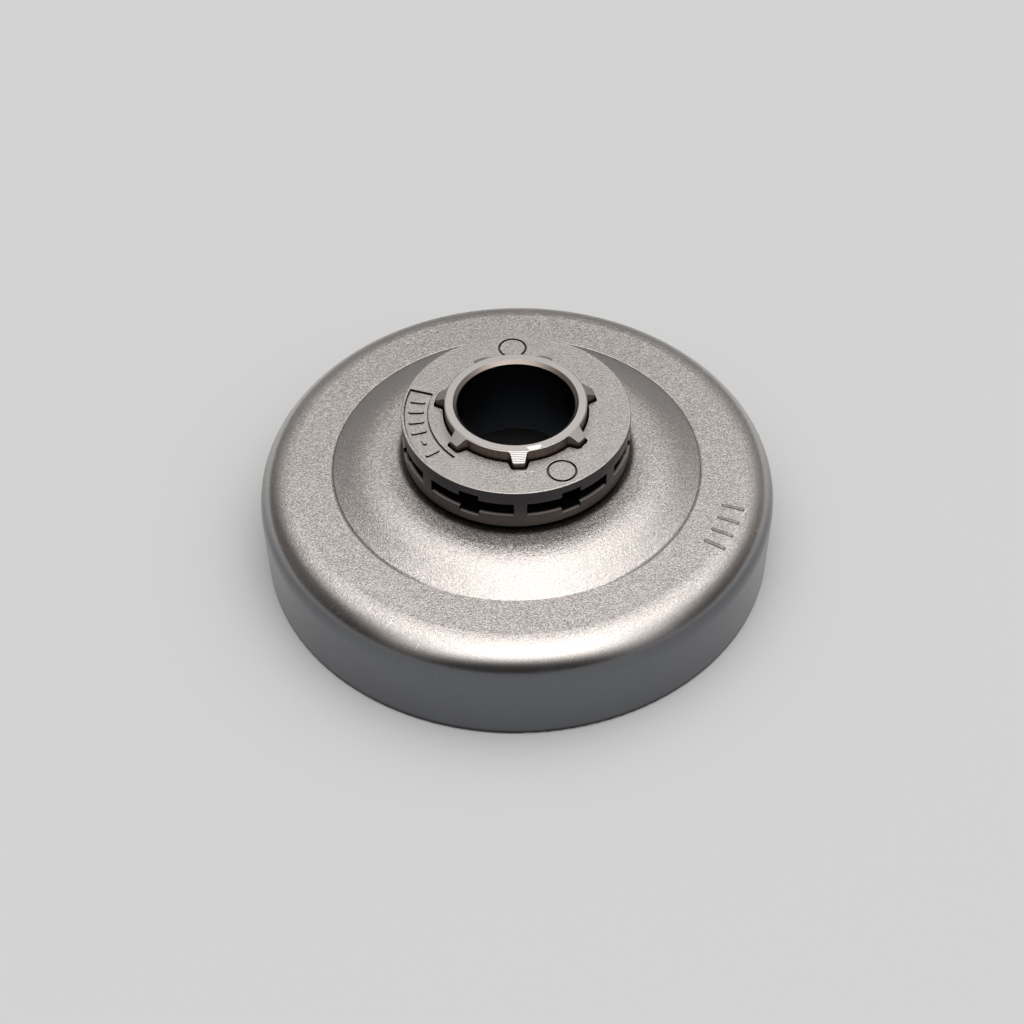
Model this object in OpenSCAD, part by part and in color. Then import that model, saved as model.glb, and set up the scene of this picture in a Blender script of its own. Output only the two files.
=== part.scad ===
// Clutch drum with a floating rim sprocket, for a small chainsaw.
// The cup stands on its open edge, with +Z up through the hub and the origin at the middle of that edge.
// -Y is the front. Angles round the axis are counted from the front, and grow towards +X.

/* [Drum cup] */
// Outside diameter of the cup
drum_od = 76.2; // [66:0.1:100]
// Height from the open edge to the flat ring on top
drum_height = 15.75; // [12:0.05:30]
// Thickness of the drawn sheet
sheet = 2.0; // [1.2:0.1:2.6]
// Outside radius of the rounded shoulder between the wall and the top
corner_r = 5.0; // [4:0.1:7]
// Diameter of the level top of the raised centre
plateau_d = 38.9; // [37:0.1:41]
// Rise of the centre above the flat ring
centre_rise = 2.6; // [1.8:0.05:3.6]
// Tilt of the cone that falls from the centre to the crease round it
cone_tilt = 26.5; // [20:0.5:34]
// Radius of the bend between the level top and the cone
brow_r = 10.5; // [5:0.1:11]
// Radius of the bend under the crease
bend_r = 1.2; // [0.4:0.1:2]
// Rounding of the open edge
edge_round = 0.4; // [0.1:0.05:0.5]

/* [Hub] */
// Bore for the needle bearing
bore_d = 17.0; // [12:0.1:19]
// Chamfer at the outer mouth of the bore
bore_chamfer = 0.5; // [0.2:0.05:0.6]
// Wall between the bore and the roots of the hub's teeth
hub_wall = 1.7; // [1.3:0.05:2.2]
// Height of the hub's teeth
tooth_h = 1.4; // [1.1:0.05:1.7]
// Number of teeth on the hub, and of pockets in the rim
teeth = 7; // [6:1:8]
// Width of a hub tooth at its root
tooth_root_w = 2.4; // [2:0.1:3]
// Width of a hub tooth at its tip
tooth_tip_w = 1.6; // [1.2:0.1:1.9]
// Fillet at the root of a tooth
root_fillet = 0.5; // [0.2:0.05:0.7]
// Rounding of the corners of a tooth's tip
tip_round = 0.3; // [0.1:0.05:0.5]
// How far the hub stands out of the rim
hub_stand = 1.9; // [1:0.1:4]
// Drop of the turned cone on the teeth, from the end ring to the tip
tooth_fall = 1.0; // [0.5:0.1:1.5]
// Width of the land that the rim rests on, outside the grooves of its splines
shoulder_land = 1.6; // [0.8:0.05:2]
// Height of that shoulder above the raised centre
shoulder_h = 0.75; // [0.5:0.05:3]
// How far the flange inside the cup stays within the level top
flange_margin = 0.65; // [0.2:0.05:3]
// Thickness of the flange
flange_t = 2.6; // [1.5:0.1:3]
// Gap round the hub in the cup's hole, filled by the braze
braze_gap = 0.05; // [0.02:0.01:0.15]
// Turn of the front tooth from the front, towards +X
front_turn = 1.4; // [-25:0.1:25]

/* [Rim sprocket] */
// Outside diameter of the rim
rim_od = 33.0; // [30:0.1:38]
// Thickness of the rim
rim_t = 6.65; // [6:0.05:9]
// Rounding of the rim's outer edges
rim_round = 0.15; // [0.1:0.05:0.5]
// Running gap between the hub's splines and the rim
spline_gap = 0.3; // [0.1:0.05:0.4]
// Height of the slot that the drive links enter
slot_h = 2.3; // [1.6:0.1:2.8]
// Height of the notch in the middle of each slot
notch_h = 4.0; // [3:0.1:4.6]
// Width of that notch
notch_w = 2.95; // [2:0.05:4]
// Thickness of the web between two slots
web_w = 1.8; // [1.2:0.1:3]
// Wall between the grooves of the splines and the floor of the pockets
pocket_wall = 1.1; // [0.7:0.05:2]
// Fillet between the web and the pocket floor
gullet_r = 1.8; // [0.5:0.1:2]

/* [Rim markings] */
// Depth of the sunk panel and of the two ring grooves
sunk = 0.3; // [0.1:0.05:0.5]
// Land between the panel and the grooves of the splines
panel_land = 0.65; // [0.4:0.05:1.5]
// Land between the panel and the rim's outside
panel_edge = 0.4; // [0.35:0.05:1.5]
// Angle that the panel spans
panel_span = 65; // [30:1:80]
// Width of the ring grooves
mark_w = 0.35; // [0.2:0.05:0.6]
// Land between a ring groove and the rim's bore
mark_land = 1.05; // [0.5:0.05:1.5]
// Land between a ring groove and the rim's outside
mark_edge = 0.65; // [0.35:0.05:1.5]

/* [Hidden] */
$fn = 120;

// Radii
drum_r = drum_od / 2;
plateau_r = plateau_d / 2;
bore_r = bore_d / 2;
root_r = bore_r + hub_wall;
tip_r = root_r + tooth_h;
groove_r = tip_r + spline_gap;
shoulder_r = groove_r + shoulder_land;
flange_r = plateau_r - flange_margin;
rim_r = rim_od / 2;
floor_r = groove_r + pocket_wall;

// Heights above the open edge
plateau_z = drum_height + centre_rise;
flange_top = plateau_z - sheet;
hub_bottom = flange_top - flange_t;
seat_z = plateau_z + shoulder_h;
rim_top = seat_z + rim_t;
hub_top = rim_top + hub_stand;

pitch = 360 / teeth;
// Outward normal of the cone
cone_normal = [sin(cone_tilt), cos(cone_tilt)];
// Share of its radius at which the cone starts inside the bend above it
brow_sink = 0.9998;
// Width of the flat chamfer that breaks the hub's end ring
ring_break = 0.12;
// Straight steps in each small arc of a tooth
arc_steps = 4;
// Share of its radius at which a tooth starts inside its disc
root_sink = 0.998;
// Extra length of a cutter past the face it leaves
past = 1;

// Angle of the middle of pocket i, counted from the front tooth
function pocket_angle(i) = front_turn + (i + 0.5) * pitch;

// A frame whose +X points outward at this angle from the front
module facing(angle) {
    rotate([0, 0, angle - 90])
        children();
}

// Waste left outside a quarter round, with the sharp corner at the origin and the body towards -X and -Y
module round_off(r) {
    difference() {
        translate([-r, -r])
            square([r + past, r + past]);
        translate([-r, -r])
            circle(r);
        translate([-r - past, -r - past])
            square([past, r + 2 * past]);
        translate([-r - past, -r - past])
            square([r + 2 * past, past]);
    }
}

// Half of the cup's section, filled in to the axis: t is how far the surface lies inside the outer one
module cup_half(t) {
    flat_z = drum_height - t;
    brow = [plateau_r, plateau_z - brow_r];
    cone_top = brow + (brow_r - t) * brow_sink * cone_normal;
    cone_foot = cone_top.x + (cone_top.y - flat_z) / tan(cone_tilt);
    intersection() {
        union() {
            translate([0, -past])
                square([drum_r - corner_r, flat_z + past]);
            translate([0, -past])
                square([drum_r - t, drum_height - corner_r + past]);
            translate([drum_r - corner_r, drum_height - corner_r])
                circle(corner_r - t);
            square([plateau_r, plateau_z - t]);
            translate(brow)
                circle(brow_r - t);
            polygon([[0, flat_z - past], [cone_foot, flat_z - past], [cone_foot, flat_z], cone_top, [0, flat_z]]);
        }
        translate([0, t == 0 ? 0 : -past])
            square([drum_r, plateau_z + 2 * past]);
    }
}

// Rounding of the bend under the crease, where the underside of the flat ring turns up into the cone
module bend_round() {
    flat_z = drum_height - sheet;
    brow_z = plateau_z - brow_r;
    bend_z = flat_z + bend_r;
    reach = (brow_r - sheet) * brow_sink + bend_r - (bend_z - brow_z) * cone_normal.y;
    bend_x = plateau_r + reach / cone_normal.x;
    touch = [bend_x, bend_z] - bend_r * cone_normal;
    difference() {
        polygon([[plateau_r, flat_z - past], [bend_x, flat_z - past], [bend_x, bend_z], touch, [plateau_r, flat_z]]);
        translate([bend_x, bend_z])
            circle(bend_r);
    }
}

module drum_cup() {
    color("silver")
        rotate_extrude()
            difference() {
                cup_half(0);
                cup_half(sheet);
                bend_round();
                square([shoulder_r + braze_gap, plateau_z + past]);
                translate([drum_r, 0])
                    mirror([0, 1])
                        round_off(edge_round);
                translate([drum_r - sheet, 0])
                    rotate(180)
                        round_off(edge_round);
            }
}

// Points on an arc round centre, from one angle to another
function arc(centre, r, from, to, steps) = [
    for (i = [0:steps])
        let(angle = from + (to - from) * i / steps)
            centre + r * [cos(angle), sin(angle)]
];

// Slope of a tooth's flank, from its root down to its tip
function flank_slope(root, tip, root_w, tip_w) = atan((root_w - tip_w) / 2 / (tip - root));

// Centre of the root fillet: it touches the flank, and the disc that the tooth stands on
function fillet_centre(root, root_w, slope, r) =
    let(
        along = [cos(slope), -sin(slope)],
        foot = [root, root_w / 2] + r * [sin(slope), cos(slope)],
        reach = foot * along
    )
    foot + along * (sqrt(reach * reach - foot * foot + pow(root + r, 2)) - reach);

// Centre of the round at a tip corner: it touches the flank and the flat tip
function corner_centre(root, tip, root_w, slope, r) = [
    tip - r,
    root_w / 2 - (tip - r - root) * tan(slope) - r / cos(slope)
];

// One tooth that points along +X, with a fillet at each side of its root and round corners at its flat tip
module tooth(root, tip, root_w, tip_w, fillet, corner) {
    slope = flank_slope(root, tip, root_w, tip_w);
    low = fillet_centre(root, root_w, slope, fillet);
    high = corner_centre(root, tip, root_w, slope, corner);
    low_arc = arc(low, fillet, 180 + atan2(low.y, low.x), 270 - slope, arc_steps);
    // The first point is sunk into the disc, so that the two join cleanly
    side = concat(
        [low_arc[0] * root_sink],
        [for (i = [1:arc_steps]) low_arc[i]],
        arc(high, corner, 90 - slope, 0, arc_steps)
    );
    other_side = [for (i = [len(side) - 1:-1:0]) [side[i].x, -side[i].y]];
    polygon(concat(side, other_side));
}

// A disc with a ring of teeth, the first of them at the front
module toothed_disc(root, tip, root_w, tip_w, fillet, corner) {
    circle(root);
    for (i = [0:teeth - 1])
        facing(front_turn + i * pitch)
            tooth(root, tip, root_w, tip_w, fillet, corner);
}

// The hub's outline with its teeth, or the rim's bore where gap is the running gap
module spline_outline(gap) {
    toothed_disc(
        root_r + gap,
        tip_r + gap,
        tooth_root_w + 2 * gap,
        tooth_tip_w + 2 * gap,
        root_fillet,
        tip_round + gap / 2
    );
}

// Flange inside the cup, and the shoulder through the cup's hole
module hub_base() {
    rotate_extrude()
        difference() {
            union() {
                translate([0, hub_bottom])
                    square([flange_r, flange_t]);
                translate([0, hub_bottom])
                    square([shoulder_r, seat_z - hub_bottom]);
            }
            translate([flange_r, hub_bottom])
                mirror([0, 1])
                    round_off(edge_round);
            translate([shoulder_r, seat_z])
                round_off(edge_round);
        }
}

// Everything under the turned end of the hub: a level ring and a cone that falls over the teeth
module hub_end() {
    ring_r = root_r - ring_break;
    fall = tooth_fall / (tip_r - ring_r);
    edge_r = tip_r + past;
    rotate_extrude()
        polygon([
            [0, hub_bottom],
            [edge_r, hub_bottom],
            [edge_r, hub_top - fall * (edge_r - ring_r)],
            [ring_r, hub_top],
            [0, hub_top]
        ]);
}

// Bore with a chamfer at each mouth
module hub_bore() {
    rotate_extrude()
        polygon([
            [0, hub_bottom - past],
            [bore_r + bore_chamfer + past, hub_bottom - past],
            [bore_r, hub_bottom + bore_chamfer],
            [bore_r, hub_top - bore_chamfer],
            [bore_r + bore_chamfer + past, hub_top + past],
            [0, hub_top + past]
        ]);
}

module splined_hub() {
    color("gainsboro")
        difference() {
            union() {
                hub_base();
                intersection() {
                    translate([0, 0, seat_z - past])
                        linear_extrude(height = hub_top - seat_z + 2 * past)
                            spline_outline(0);
                    hub_end();
                }
            }
            hub_bore();
        }
}

// The turned blank of the rim
module rim_blank() {
    rotate_extrude()
        difference() {
            translate([0, seat_z])
                square([rim_r, rim_t]);
            translate([rim_r, seat_z])
                mirror([0, 1])
                    round_off(rim_round);
            translate([rim_r, rim_top])
                round_off(rim_round);
        }
}

// The slots between the webs, with a round gullet at each foot of a web
module rim_slots() {
    translate([0, 0, seat_z + (rim_t - slot_h) / 2])
        linear_extrude(height = slot_h)
            difference() {
                circle(rim_r + past);
                toothed_disc(floor_r, rim_r + 2 * past, web_w, web_w, gullet_r, web_w / 4);
            }
}

// The taller notch in the middle of each slot
module rim_notches() {
    for (i = [0:teeth - 1])
        facing(pocket_angle(i))
            translate([floor_r, -notch_w / 2, seat_z + (rim_t - notch_h) / 2])
                cube([rim_r - floor_r + past, notch_w, notch_h]);
}

// The sunk panel and the two ring grooves on the rim's top face
module rim_marks() {
    panel_r = groove_r + panel_land;
    mark_in = root_r + spline_gap + mark_land;
    mark_out = rim_r - mark_edge;
    mark_r = (mark_out - mark_in) / 2;
    facing(pocket_angle(-2))
        rotate_extrude(angle = panel_span, start = -panel_span / 2)
            translate([panel_r, rim_top - sunk])
                square([rim_r - panel_edge - panel_r, sunk + past]);
    for (i = [0, 3])
        facing(pocket_angle(i))
            translate([(mark_in + mark_out) / 2, 0, rim_top - sunk])
                rotate_extrude()
                    translate([mark_r - mark_w, 0])
                        square([mark_w, sunk + past]);
}

module rim_sprocket() {
    color("darkgray")
        difference() {
            rim_blank();
            translate([0, 0, seat_z - past])
                linear_extrude(height = rim_t + 2 * past)
                    spline_outline(spline_gap);
            rim_slots();
            rim_notches();
            rim_marks();
        }
}

drum_cup();
splined_hub();
rim_sprocket();
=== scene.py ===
"""The looks of the clutch drum: camera, light, floor, the finish of each steel piece and its plain marks.

Everything is in metres, in the part's own frame: +Z up the hub, -Y towards the camera, origin at the middle
of the cup's open edge. Angles round the axis are counted from the front and grow towards +X.
"""

import math

import bmesh
import bpy
from mathutils import Matrix, Vector


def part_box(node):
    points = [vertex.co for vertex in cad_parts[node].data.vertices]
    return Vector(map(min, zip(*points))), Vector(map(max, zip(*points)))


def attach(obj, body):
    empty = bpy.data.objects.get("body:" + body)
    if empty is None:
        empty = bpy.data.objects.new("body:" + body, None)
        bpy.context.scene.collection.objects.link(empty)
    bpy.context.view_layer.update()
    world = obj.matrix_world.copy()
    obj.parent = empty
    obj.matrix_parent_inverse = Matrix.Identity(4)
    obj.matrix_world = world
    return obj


MM = 0.001
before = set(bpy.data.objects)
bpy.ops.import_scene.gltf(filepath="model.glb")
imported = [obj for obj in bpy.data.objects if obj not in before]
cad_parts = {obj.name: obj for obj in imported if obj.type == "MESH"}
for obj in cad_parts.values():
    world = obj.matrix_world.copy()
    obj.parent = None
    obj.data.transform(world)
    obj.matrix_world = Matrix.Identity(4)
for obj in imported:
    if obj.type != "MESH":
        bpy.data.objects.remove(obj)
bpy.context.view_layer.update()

# The cup
CUP_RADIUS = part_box("drum_cup")[1].x
FLAT_TOP = 15.75 * MM
CORNER_RADIUS = 5.0 * MM
CREASE_RADIUS = 27.13 * MM

# The hub
BORE_RADIUS = 8.5 * MM
ROOT_RADIUS = 10.2 * MM
TEETH = 7
FRONT_TURN = 1.4
WORN_TURN = 14.5

# The rim, its sunk panel and its ring grooves, each told by the pocket that it is over
RIM_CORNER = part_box("rim_sprocket")[1]
RIM_RADIUS = RIM_CORNER.x
RIM_TOP = RIM_CORNER.z
SUNK = 0.3 * MM
PANEL_POCKET = -2
PANEL_IN = 12.55 * MM
PANEL_OUT = 16.1 * MM
PANEL_SPAN = 65
RING_POCKETS = (0, 3)
RING_PLACE = 13.7 * MM
RING_RADIUS = 2.15 * MM

# The raised bars in the panel: the first one's angle from the panel's middle, and the angle from one to the next
FIRST_BAR = -24
BAR_PITCH = 8.5
UPRIGHT_BARS = 4
BAR_WIDTH = 0.6 * MM
BAR_LENGTH = 2.3 * MM
BAR_DRAFT = 0.08 * MM
DASH_LENGTH = 1.3 * MM
AFTER_DASH = 1.2 * BAR_PITCH

# The photograph's camera, as fitted to the edges of the rim, the bore and the cup
FRAME_PIXELS = 1024
FOCAL_PIXELS = 1712
CAMERA_ELEVATION = 46.61
CAMERA_ROLL = -0.89
CAMERA_DISTANCE = 260.6 * MM
CAMERA_TARGET = Vector((-0.78, 0.0, 4.70)) * MM
SENSOR = 36.0

# The plain strokes in the place of the cup's stamp, with angles in degrees
STROKES = 4
FIRST_STROKE = 58.0
STROKE_PITCH = 4.6
STROKE_PLACE = 32.6 * MM
STROKE_REACH = 1.35 * MM
STROKE_WIDTH = 0.5 * MM

# The room: a wide soft box overhead. Its edges are told by how far a direction leans to the sides, to the back
# and to the front, and each pair is where the box is dark and where it is full
BOX_GLOW = 2.85
BOX_MIDDLE = 0.06
BOX_SIDES = (0.95, 0.1)
BOX_BACK = (0.90, 0.1)
BOX_FRONT = (-0.9, -0.5)
ROOM_DEPTH = (-0.6, 0.3)
ROOM_GLOW = (0.05, 0.15)


def pocket_turn(i):
    """Angle of the middle of pocket i of the rim, in degrees."""
    return FRONT_TURN + (i + 0.5) * 360 / TEETH


def around(turn, radius, height):
    """The point at this angle in degrees, radius and height."""
    angle = math.radians(turn)
    return Vector((radius * math.sin(angle), -radius * math.cos(angle), height))


def on_corner(turn, tilt):
    """The point on the cup's rounded shoulder where the surface has this tilt, in degrees."""
    angle = math.radians(tilt)
    radius = CUP_RADIUS - CORNER_RADIUS * (1 - math.sin(angle))
    return around(turn, radius, FLAT_TOP - CORNER_RADIUS * (1 - math.cos(angle)))


def make_camera():
    """Stands the camera off from its target at the photograph's angle, a little rolled."""
    elevation = math.radians(CAMERA_ELEVATION)
    back = Vector((0, -math.cos(elevation), math.sin(elevation)))
    data = bpy.data.cameras.new("camera")
    data.sensor_width = SENSOR
    data.lens = SENSOR * FOCAL_PIXELS / FRAME_PIXELS
    data.clip_start = 0.01
    data.clip_end = 20
    camera = bpy.data.objects.new("camera", data)
    bpy.context.collection.objects.link(camera)
    turn = back.to_track_quat("Z", "Y").to_matrix().to_4x4()
    roll = Matrix.Rotation(math.radians(CAMERA_ROLL), 4, "Z")
    place = Matrix.Translation(CAMERA_TARGET + back * CAMERA_DISTANCE)
    camera.matrix_world = place @ turn @ roll
    bpy.context.scene.camera = camera


class Graph:
    """A material's or world's node tree, built by short calls that return output sockets."""

    def __init__(self, owner):
        owner.use_nodes = True
        self.tree = owner.node_tree
        self.tree.nodes.clear()

    def add(self, kind, inputs=None, **settings):
        """Adds a node. Each input is a socket to link or a value to set, by name or number."""
        node = self.tree.nodes.new(kind)
        for name, value in settings.items():
            setattr(node, name, value)
        for name, value in (inputs or {}).items():
            if isinstance(value, bpy.types.NodeSocket):
                self.tree.links.new(value, node.inputs[name])
            else:
                node.inputs[name].default_value = value
        return node

    def math(self, operation, *values, clamp=False):
        """One step of arithmetic on numbers."""
        inputs = dict(enumerate(values))
        return self.add("ShaderNodeMath", inputs, operation=operation, use_clamp=clamp).outputs[0]

    def vector(self, operation, *values, output="Vector"):
        """One step of arithmetic on vectors."""
        inputs = dict(enumerate(values))
        return self.add("ShaderNodeVectorMath", inputs, operation=operation).outputs[output]

    def times(self, vector, by):
        """A vector times a number."""
        node = self.add("ShaderNodeVectorMath", {0: vector, "Scale": by}, operation="SCALE")
        return node.outputs[0]

    def fade(self, value, start, end):
        """0 where value is at start, 1 where it is at end, and smooth between."""
        inputs = {"Value": value, "From Min": start, "From Max": end}
        return self.add("ShaderNodeMapRange", inputs, interpolation_type="SMOOTHSTEP").outputs[0]

    def scale(self, value, low, high):
        """Maps 0 to 1 onto low to high."""
        inputs = {"Value": value, "To Min": low, "To Max": high}
        return self.add("ShaderNodeMapRange", inputs).outputs[0]

    def mix(self, factor, a, b):
        """A number between a and b."""
        node = self.add("ShaderNodeMix", {0: factor, 2: a, 3: b}, data_type="FLOAT")
        return node.outputs[0]

    def tint(self, factor, a, b):
        """A colour between a and b."""
        node = self.add("ShaderNodeMix", {0: factor, 6: a, 7: b}, data_type="RGBA")
        return node.outputs[2]

    def both(self, a, b):
        """1 only where both masks are."""
        return self.math("MULTIPLY", a, b)

    def outside(self, mask):
        """1 where the mask is 0."""
        return self.math("SUBTRACT", 1.0, mask)

    def either(self, masks):
        """The strongest of several masks."""
        strongest = masks[0]
        for mask in masks[1:]:
            strongest = self.math("MAXIMUM", strongest, mask)
        return strongest

    def noise(self, vector, size, detail=2.0, roughness=0.5):
        """Noise whose features are about size metres across."""
        inputs = {"Vector": vector, "Scale": 1 / size, "Detail": detail, "Roughness": roughness}
        return self.add("ShaderNodeTexNoise", inputs).outputs["Fac"]

    def specks(self, vector, spacing, radius, share):
        """1 in small round specks, in this share of cells that are about spacing metres wide."""
        cells = self.add("ShaderNodeTexVoronoi", {"Vector": vector, "Scale": 1 / spacing})
        near = self.fade(cells.outputs["Distance"], radius / spacing, 0.5 * radius / spacing)
        draw = self.add("ShaderNodeSeparateColor", {0: cells.outputs["Color"]}).outputs[0]
        return self.both(near, self.math("LESS_THAN", draw, share))

    def bump(self, height, depth, strength=1.0, normal=None):
        """A relief of height 0 to 1 that is depth metres deep."""
        inputs = {"Height": height, "Distance": depth, "Strength": strength}
        if normal:
            inputs["Normal"] = normal
        return self.add("ShaderNodeBump", inputs).outputs[0]


class Steel(Graph):
    """A metal material that knows where it is on the part and which way it faces."""

    def __init__(self, name):
        self.material = bpy.data.materials.new(name)
        super().__init__(self.material)
        place = self.add("ShaderNodeTexCoord")
        self.place = place.outputs["Object"]
        x, y, self.z = self.add("ShaderNodeSeparateXYZ", {0: self.place}).outputs
        flat = self.add("ShaderNodeCombineXYZ", {0: x, 1: y, 2: 0.0}).outputs[0]
        self.r = self.vector("LENGTH", flat, output="Value")
        self.up = self.add("ShaderNodeSeparateXYZ", {0: place.outputs["Normal"]}).outputs[2]
        across = self.vector("DOT_PRODUCT", place.outputs["Normal"], flat, output="Value")
        self.outward = self.math("DIVIDE", across, self.r)
        self.turn = self.math("ARCTAN2", x, self.math("MULTIPLY", y, -1.0))

    def streaks(self, across, along):
        """Noise in long streaks, from a number that changes fast across them and one slow along them."""
        vector = self.add("ShaderNodeCombineXYZ", {0: across, 1: along}).outputs[0]
        return self.noise(vector, 1.0, detail=3.0)

    def turned(self, along, size):
        """Fine lines that run round the axis, as a lathe leaves them, size metres apart along r or z."""
        lines = self.math("DIVIDE", along, size)
        return self.streaks(lines, self.math("MULTIPLY", self.turn, 0.6))

    def drawn(self, radius, size, length):
        """Fine lines that run up and down, as a die leaves them, size metres apart at this radius."""
        lines = self.math("MULTIPLY", self.turn, radius / size)
        return self.streaks(lines, self.math("DIVIDE", self.z, length))

    def facets(self, size, tilt, normal):
        """Tilts the surface by chance in each cell of about size metres, as blasting or casting does."""
        cells = self.add("ShaderNodeTexVoronoi", {"Vector": self.place, "Scale": 1 / size})
        chance = self.vector("SUBTRACT", cells.outputs["Color"], (0.5, 0.5, 0.5))
        return self.vector("NORMALIZE", self.vector("ADD", normal, self.times(chance, tilt)))

    def turned_away(self, turn):
        """How far round the axis a point is from this angle in degrees, in radians, 0 to pi."""
        lag = self.math("SUBTRACT", self.turn, math.radians(turn))
        wrapped = self.math("WRAP", lag, math.pi, -math.pi)
        return self.math("ABSOLUTE", wrapped)

    def near(self, centre):
        """Distance from a point."""
        return self.vector("DISTANCE", self.place, centre, output="Value")

    def scratch(self, start, end, width):
        """1 along a straight scratch between two points."""
        run = end - start
        past_start = self.vector("SUBTRACT", self.place, start)
        reach = self.vector("DOT_PRODUCT", past_start, run, output="Value")
        share = self.math("DIVIDE", reach, run.length_squared, clamp=True)
        gap = self.vector("DISTANCE", past_start, self.times(run, share), output="Value")
        return self.fade(gap, width, 0.3 * width)

    def strokes(self, soft):
        """1 in the row of radial strokes that stands for the stamp, with edges that fade over soft metres."""
        pitch = math.radians(STROKE_PITCH)
        lag = self.math("SUBTRACT", self.turn, math.radians(FIRST_STROKE))
        steps = self.math("ROUND", self.math("DIVIDE", lag, pitch))
        steps = self.math("MINIMUM", self.math("MAXIMUM", steps, 0.0), STROKES - 1.0)
        lag = self.math("SUBTRACT", lag, self.math("MULTIPLY", steps, pitch))
        across = self.math("MULTIPLY", lag, self.r)
        along = self.math("ABSOLUTE", self.math("SUBTRACT", self.r, STROKE_PLACE))
        along = self.math("MAXIMUM", self.math("SUBTRACT", along, STROKE_REACH), 0.0)
        away = self.add("ShaderNodeCombineXYZ", {0: across, 1: along}).outputs[0]
        gap = self.vector("LENGTH", away, output="Value")
        return self.fade(gap, STROKE_WIDTH / 2 + soft, STROKE_WIDTH / 2 - soft)

    def finish(self, tone, roughness, normal):
        """Ends the material as bare metal and returns it."""
        inputs = {"Base Color": tone, "Roughness": roughness, "Metallic": 1.0, "Normal": normal}
        shader = self.add("ShaderNodeBsdfPrincipled", inputs)
        self.add("ShaderNodeOutputMaterial", {"Surface": shader.outputs[0]})
        return self.material


def colour(red, green, blue):
    """A colour as the nodes take it, with a full alpha."""
    return (red, green, blue, 1.0)


def cup_scars(steel):
    """Bright nicks and scrapes on the shoulder of the cup, as the photograph shows them."""
    fine = 0.11 * MM
    scars = [
        steel.scratch(on_corner(-29.9, 20), on_corner(-30.3, 33), fine),
        steel.scratch(on_corner(-22.1, 39), on_corner(-22.4, 49), fine),
        steel.scratch(on_corner(-44.0, 44), on_corner(-44.6, 52), fine),
        steel.scratch(on_corner(-41.5, 47), on_corner(-42.6, 51), fine),
        steel.scratch(on_corner(70.2, 12), on_corner(72.6, 17), fine),
        steel.scratch(on_corner(68.2, 44), on_corner(69.0, 50), fine),
        steel.scratch(on_corner(-24.5, 31), on_corner(-24.1, 35), fine),
    ]
    return steel.either(scars)


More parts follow.
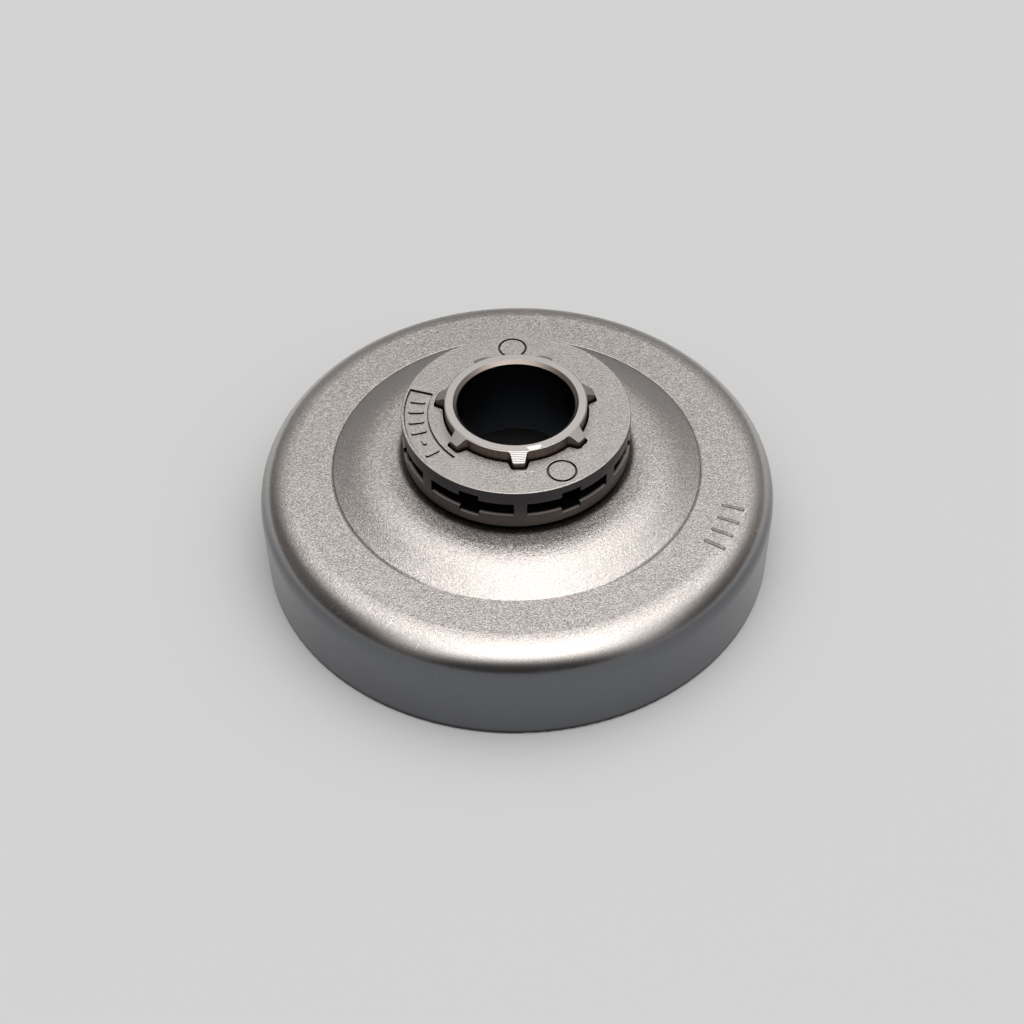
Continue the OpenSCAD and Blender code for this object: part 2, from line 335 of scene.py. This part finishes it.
def cup_steel():
    """Blasted on top, drawn and glossy on the wall, ground inside where the shoes rub. The wall's dark tone is a
    painted reflection, and the crease, the ground by the rim and the foot carry painted shade.
    """
    steel = Steel("cup_steel")
    wall = steel.fade(steel.z, FLAT_TOP - 0.1 * MM, FLAT_TOP - 1.2 * MM)
    inside = steel.fade(steel.math("MINIMUM", steel.outward, steel.up), -0.2, -0.5)

    grain = steel.noise(steel.place, 0.24 * MM, detail=2.0, roughness=0.7)
    cloud = steel.noise(steel.place, 7 * MM, detail=3.0)
    painted_reflection_wall = steel.fade(steel.z, FLAT_TOP - 1.15 * MM, FLAT_TOP - 3.2 * MM)
    die_lines = steel.drawn(CUP_RADIUS, 0.35 * MM, 9 * MM)
    rub_lines = steel.turned(steel.z, 0.2 * MM)
    level = steel.fade(steel.up, 0.5, 0.8)
    pits = steel.specks(steel.place, 2.6 * MM, 0.16 * MM, 0.3)
    crease_gap = steel.math("ABSOLUTE", steel.math("SUBTRACT", steel.r, CREASE_RADIUS))
    crease_groove_and_shade = steel.both(steel.fade(crease_gap, 0.22 * MM, 0.05 * MM), level)
    crease_groove_and_shade = steel.both(crease_groove_and_shade, steel.fade(steel.turned_away(0), 0.4, 0.7))
    painted_shadow_under_rim = steel.both(steel.fade(steel.r, RIM_RADIUS + 1.2 * MM, RIM_RADIUS + 0.3 * MM), level)
    painted_foot_shadow = steel.both(steel.fade(steel.z, 1.1 * MM, 0.5 * MM), steel.fade(steel.outward, 0.0, 0.3))
    scars = cup_scars(steel)
    stamp = steel.both(steel.strokes(0.09 * MM), level)

    top_tone = steel.tint(cloud, colour(0.51, 0.49, 0.475), colour(0.60, 0.58, 0.56))
    top_tone = steel.tint(steel.fade(grain, 0.60, 0.36), top_tone, colour(0.45, 0.435, 0.42))
    # The wall's tone is the real die lines over a dark colour that is a painted dark reflection
    drawn_lines_and_painted_reflection = steel.tint(die_lines, colour(0.135, 0.14, 0.15), colour(0.165, 0.17, 0.18))
    tone = steel.tint(painted_reflection_wall, top_tone, drawn_lines_and_painted_reflection)
    tone = steel.tint(inside, tone, colour(0.36, 0.35, 0.34))
    # Painted shade darkens the crease where the cone meets the flat ring, over a real fine groove made by the
    # bump below; it fades out at the front
    tone = steel.tint(steel.both(crease_groove_and_shade, 0.55), tone, colour(0.10, 0.095, 0.09))
    tone = steel.tint(steel.both(pits, steel.mix(wall, 0.6, 0.0)), tone, colour(0.12, 0.11, 0.10))
    # Painted shadow: the cup's top is made nearly black just beyond the rim's edge
    tone = steel.tint(steel.both(painted_shadow_under_rim, 0.92), tone, colour(0.02, 0.018, 0.016))
    # Painted shadow: a dark line along the foot of the wall, where it meets the floor
    tone = steel.tint(steel.both(painted_foot_shadow, 0.85), tone, colour(0.02, 0.02, 0.022))
    tone = steel.tint(steel.both(stamp, 0.4), tone, colour(0.10, 0.09, 0.085))
    tone = steel.tint(scars, tone, colour(0.74, 0.72, 0.70))

    rough_wall = steel.scale(die_lines, 0.20, 0.27)
    roughness = steel.mix(wall, 0.40, rough_wall)
    roughness = steel.mix(inside, roughness, steel.scale(rub_lines, 0.2, 0.42))

    relief = steel.bump(grain, 0.05 * MM, steel.scale(wall, 1.0, 0.04))
    relief = steel.bump(die_lines, 0.002 * MM, wall, relief)
    relief = steel.bump(rub_lines, 0.004 * MM, inside, relief)
    relief = steel.bump(steel.outside(stamp), 0.3 * MM, 1.0, relief)
    relief = steel.bump(steel.outside(crease_groove_and_shade), 0.04 * MM, 1.0, relief)
    smooth = steel.either([wall, inside])
    relief = steel.facets(0.15 * MM, steel.mix(smooth, 0.21, 0.0), relief)
    return steel.finish(tone, roughness, relief)


def hub_steel():
    """A turned end ring and tooth tops, dark milled sides, and a smooth bore painted dark as shade."""
    steel = Steel("hub_steel")
    bright = steel.fade(steel.up, 0.35, 0.6)
    ring = steel.fade(steel.up, 0.90, 0.96)
    chamfer = steel.both(steel.fade(steel.up, 0.78, 0.74), bright)
    bore = steel.fade(steel.r, BORE_RADIUS + 0.1 * MM, BORE_RADIUS + 0.02 * MM)

    fine_lines = steel.turned(steel.r, 0.10 * MM)
    tool_lines = steel.math("SINE", steel.math("DIVIDE", steel.r, 0.033 * MM))
    tool_lines = steel.fade(tool_lines, -1.0, 1.0)
    mill_lines = steel.drawn(ROOT_RADIUS, 0.25 * MM, 6 * MM)
    grain = steel.noise(steel.place, 0.3 * MM, detail=3.0)
    cut = steel.both(bright, steel.outside(steel.either([ring, chamfer])))
    worn = steel.fade(steel.turned_away(WORN_TURN), math.radians(7), math.radians(4))
    worn = steel.both(worn, steel.both(ring, steel.fade(steel.r, ROOT_RADIUS - 0.8 * MM, ROOT_RADIUS)))

    side = steel.tint(mill_lines, colour(0.075, 0.055, 0.045), colour(0.17, 0.135, 0.115))
    # The bore's dark bluish tone is painted shade
    dark = steel.tint(bore, side, colour(0.06, 0.068, 0.085))
    end = steel.tint(fine_lines, colour(0.60, 0.59, 0.575), colour(0.74, 0.73, 0.71))
    end = steel.tint(chamfer, end, colour(0.36, 0.315, 0.285))
    tone = steel.tint(bright, dark, end)
    tone = steel.tint(steel.both(cut, steel.scale(tool_lines, 0.75, 0.0)), tone, colour(0.16, 0.13, 0.115))

    rough_end = steel.mix(ring, 0.34, steel.scale(fine_lines, 0.30, 0.42))
    roughness = steel.mix(bright, steel.mix(bore, 0.45, 0.25), rough_end)

    relief = steel.bump(tool_lines, 0.03 * MM, cut)
    relief = steel.bump(fine_lines, 0.004 * MM, ring, relief)
    relief = steel.bump(steel.outside(worn), 0.3 * MM, 1.0, relief)
    relief = steel.bump(grain, 0.01 * MM, 0.5, relief)
    return steel.finish(tone, roughness, relief)


def panel_corner_shade(steel):
    """Painted shade in the corner of the sunk panel, thick along its inner arc and its far end."""
    inner = steel.math("SUBTRACT", steel.r, PANEL_IN)
    outer = steel.math("SUBTRACT", PANEL_OUT, steel.r)
    half_span = math.radians(PANEL_SPAN / 2)
    end = steel.math("SUBTRACT", half_span, steel.turned_away(pocket_turn(PANEL_POCKET)))
    end = steel.math("MULTIPLY", end, steel.r)
    edge = steel.math("MINIMUM", steel.math("MINIMUM", inner, outer), end)
    return steel.fade(steel.math("ABSOLUTE", edge), 0.26 * MM, 0.08 * MM)


def rim_steel():
    """A pale satin face with cast grain over dark sides, and pockets painted nearly black as shade."""
    steel = Steel("rim_steel")
    bright = steel.fade(steel.up, 0.45, 0.75)
    face = steel.both(bright, steel.fade(steel.z, RIM_TOP - 0.6 * MM, RIM_TOP - 0.4 * MM))
    pocket = steel.fade(steel.r, RIM_RADIUS - 0.02 * MM, RIM_RADIUS - 0.15 * MM)
    deep = steel.fade(steel.r, RIM_RADIUS - 0.15 * MM, RIM_RADIUS - 0.65 * MM)

    grain = steel.noise(steel.place, 0.26 * MM, detail=3.0, roughness=0.65)
    cloud = steel.noise(steel.place, 3 * MM, detail=2.0)
    lines = steel.turned(steel.z, 0.25 * MM)
    pits = steel.specks(steel.place, 3.4 * MM, 0.2 * MM, 0.25)
    rings = [steel.near(around(pocket_turn(i), RING_PLACE, RIM_TOP - SUNK)) for i in RING_POCKETS]
    rings = [steel.math("SUBTRACT", ring, RING_RADIUS - 0.17 * MM) for ring in rings]
    rings = [steel.fade(steel.math("ABSOLUTE", ring), 0.27 * MM, 0.12 * MM) for ring in rings]
    rings = steel.either(rings)
    below_face = steel.fade(steel.z, RIM_TOP - 0.05 * MM, RIM_TOP - 0.15 * MM)
    recess_shade = steel.both(steel.either([rings, panel_corner_shade(steel)]), below_face)
    scars = steel.either([
        steel.scratch(around(-0.7, 12.32 * MM, RIM_TOP), around(12.1, 12.54 * MM, RIM_TOP), 0.12 * MM),
        steel.scratch(around(-1.5, 12.75 * MM, RIM_TOP), around(4.0, 12.7 * MM, RIM_TOP), 0.08 * MM),
    ])

    low = steel.fade(steel.z, RIM_TOP - 3.2 * MM, RIM_TOP - 4.2 * MM)
    side = steel.tint(low, colour(0.050, 0.050, 0.060), colour(0.085, 0.070, 0.064))
    side = steel.tint(lines, side, colour(0.075, 0.07, 0.07))
    # Painted shade: the faces inside the pockets are made nearly black
    side = steel.tint(pocket, side, colour(0.006, 0.006, 0.006))
    ledge = steel.tint(grain, colour(0.28, 0.26, 0.25), colour(0.56, 0.53, 0.51))
    # Painted shade: the ledges are made nearly black deeper into the pockets, leaving only their outer lips pale
    ledge = steel.tint(deep, ledge, colour(0.008, 0.007, 0.007))
    top = steel.tint(cloud, colour(0.52, 0.505, 0.49), colour(0.59, 0.575, 0.56))
    top = steel.tint(steel.fade(grain, 0.60, 0.36), top, colour(0.43, 0.415, 0.40))
    tone = steel.tint(bright, side, ledge)
    tone = steel.tint(face, tone, top)
    tone = steel.tint(steel.both(steel.both(pits, face), 0.7), tone, colour(0.10, 0.095, 0.09))
    # Painted shade: dark lines in the corners of the sunk panel and along the ring grooves
    tone = steel.tint(steel.both(steel.both(recess_shade, face), 0.9), tone, colour(0.05, 0.045, 0.042))
    tone = steel.tint(scars, tone, colour(0.80, 0.78, 0.76))

    roughness = steel.mix(pocket, steel.scale(lines, 0.32, 0.46), 0.85)
    roughness = steel.mix(face, roughness, 0.44)
    relief = steel.bump(grain, 0.06 * MM, steel.scale(face, 0.2, 1.0))
    relief = steel.facets(0.15 * MM, steel.mix(face, 0.05, 0.15), relief)
    return steel.finish(tone, roughness, relief)


def dress(node, material):
    """Gives a CAD node its finish."""
    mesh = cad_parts[node].data
    mesh.materials.clear()
    mesh.materials.append(material)


def stadium(length, width, steps=8):
    """Outline of a round-ended bar along X, as points in the XY plane."""
    radius = width / 2
    reach = length / 2 - radius
    points = []
    for side in (1, -1):
        for i in range(steps + 1):
            angle = math.pi * (i / steps - 0.5)
            point = Vector((reach + radius * math.cos(angle), radius * math.sin(angle), 0))
            points.append(side * point)
    return points


def add_raised(mesh, outline, place, height, draft):
    """Adds one raised shape to a bmesh. Its outline stands on place and draws in by draft to its flat top."""
    low = [mesh.verts.new(place @ point) for point in outline]
    shrunk = [point - point.normalized() * draft for point in outline]
    high = [mesh.verts.new(place @ (point + Vector((0, 0, height)))) for point in shrunk]
    mesh.faces.new(reversed(low))
    mesh.faces.new(high)
    count = len(outline)
    for i in range(count):
        j = (i + 1) % count
        mesh.faces.new((low[i], low[j], high[j], high[i]))


def raised_marks(name, shapes, floor, height, material):
    """A piece on the rim with a raised bar for each (turn, radius, lean, length, width)."""
    mesh = bmesh.new()
    for turn, radius, lean, length, width in shapes:
        spin = Matrix.Rotation(math.radians(turn - 90 + lean), 4, "Z")
        place = Matrix.Translation(around(turn, radius, floor)) @ spin
        add_raised(mesh, stadium(length, width), place, height, BAR_DRAFT)
    data = bpy.data.meshes.new(name)
    mesh.to_mesh(data)
    mesh.free()
    data.materials.append(material)
    piece = bpy.data.objects.new(name, data)
    bpy.context.collection.objects.link(piece)
    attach(piece, "rim")


def make_marks(material):
    """Plain raised bars in the sunk panel: a row of upright ones, a short dash and one more upright."""
    middle = (PANEL_IN + PANEL_OUT) / 2
    first = pocket_turn(PANEL_POCKET) + FIRST_BAR
    dash_turn = first + BAR_PITCH * UPRIGHT_BARS
    turns = [first + BAR_PITCH * i for i in range(UPRIGHT_BARS)]
    turns.append(dash_turn + AFTER_DASH)
    bars = [(turn, middle, 0, BAR_LENGTH, BAR_WIDTH) for turn in turns]
    bars.append((dash_turn, middle, 90, DASH_LENGTH, BAR_WIDTH))
    sink = 0.02 * MM
    below_face = 0.05 * MM
    raised_marks("panel_bars", bars, RIM_TOP - SUNK - sink, SUNK + sink - below_face, material)


def make_floor():
    """A plain pale floor, far wider than the view."""
    size = 3.0
    mesh = bpy.data.meshes.new("floor")
    corners = [(-size, -size, 0), (size, -size, 0), (size, size, 0), (-size, size, 0)]
    mesh.from_pydata(corners, [], [(0, 1, 2, 3)])
    floor = bpy.data.objects.new("floor", mesh)
    bpy.context.collection.objects.link(floor)
    material = bpy.data.materials.new("floor")
    graph = Graph(material)
    inputs = {"Base Color": colour(0.52, 0.54, 0.55), "Roughness": 0.8}
    shader = graph.add("ShaderNodeBsdfPrincipled", inputs)
    graph.add("ShaderNodeOutputMaterial", {"Surface": shader.outputs[0]})
    mesh.materials.append(material)


def make_light():
    """A room with a wide soft box overhead, which fades to the sides, to the back and low in front."""
    world = bpy.data.worlds.new("room")
    graph = Graph(world)
    place = graph.add("ShaderNodeTexCoord").outputs["Generated"]
    x, y = graph.add("ShaderNodeSeparateXYZ", {0: place}).outputs[:2]
    lean = graph.math("ABSOLUTE", graph.math("SUBTRACT", x, BOX_MIDDLE))
    box = graph.both(graph.fade(lean, *BOX_SIDES), graph.fade(y, *BOX_BACK))
    box = graph.both(box, graph.fade(y, *BOX_FRONT))
    room = graph.mix(graph.fade(y, *ROOM_DEPTH), *ROOM_GLOW)
    lit = graph.math("MULTIPLY_ADD", box, BOX_GLOW, room)
    sky = graph.add("ShaderNodeBackground", {"Color": colour(1.0, 0.955, 0.935), "Strength": lit})
    graph.add("ShaderNodeOutputWorld", {"Surface": sky.outputs[0]})
    bpy.context.scene.world = world
    bpy.context.scene.view_settings.view_transform = "Standard"


make_camera()
make_light()
make_floor()
dress("drum_cup", cup_steel())
dress("splined_hub", hub_steel())
RIM_FINISH = rim_steel()
dress("rim_sprocket", RIM_FINISH)
make_marks(RIM_FINISH)
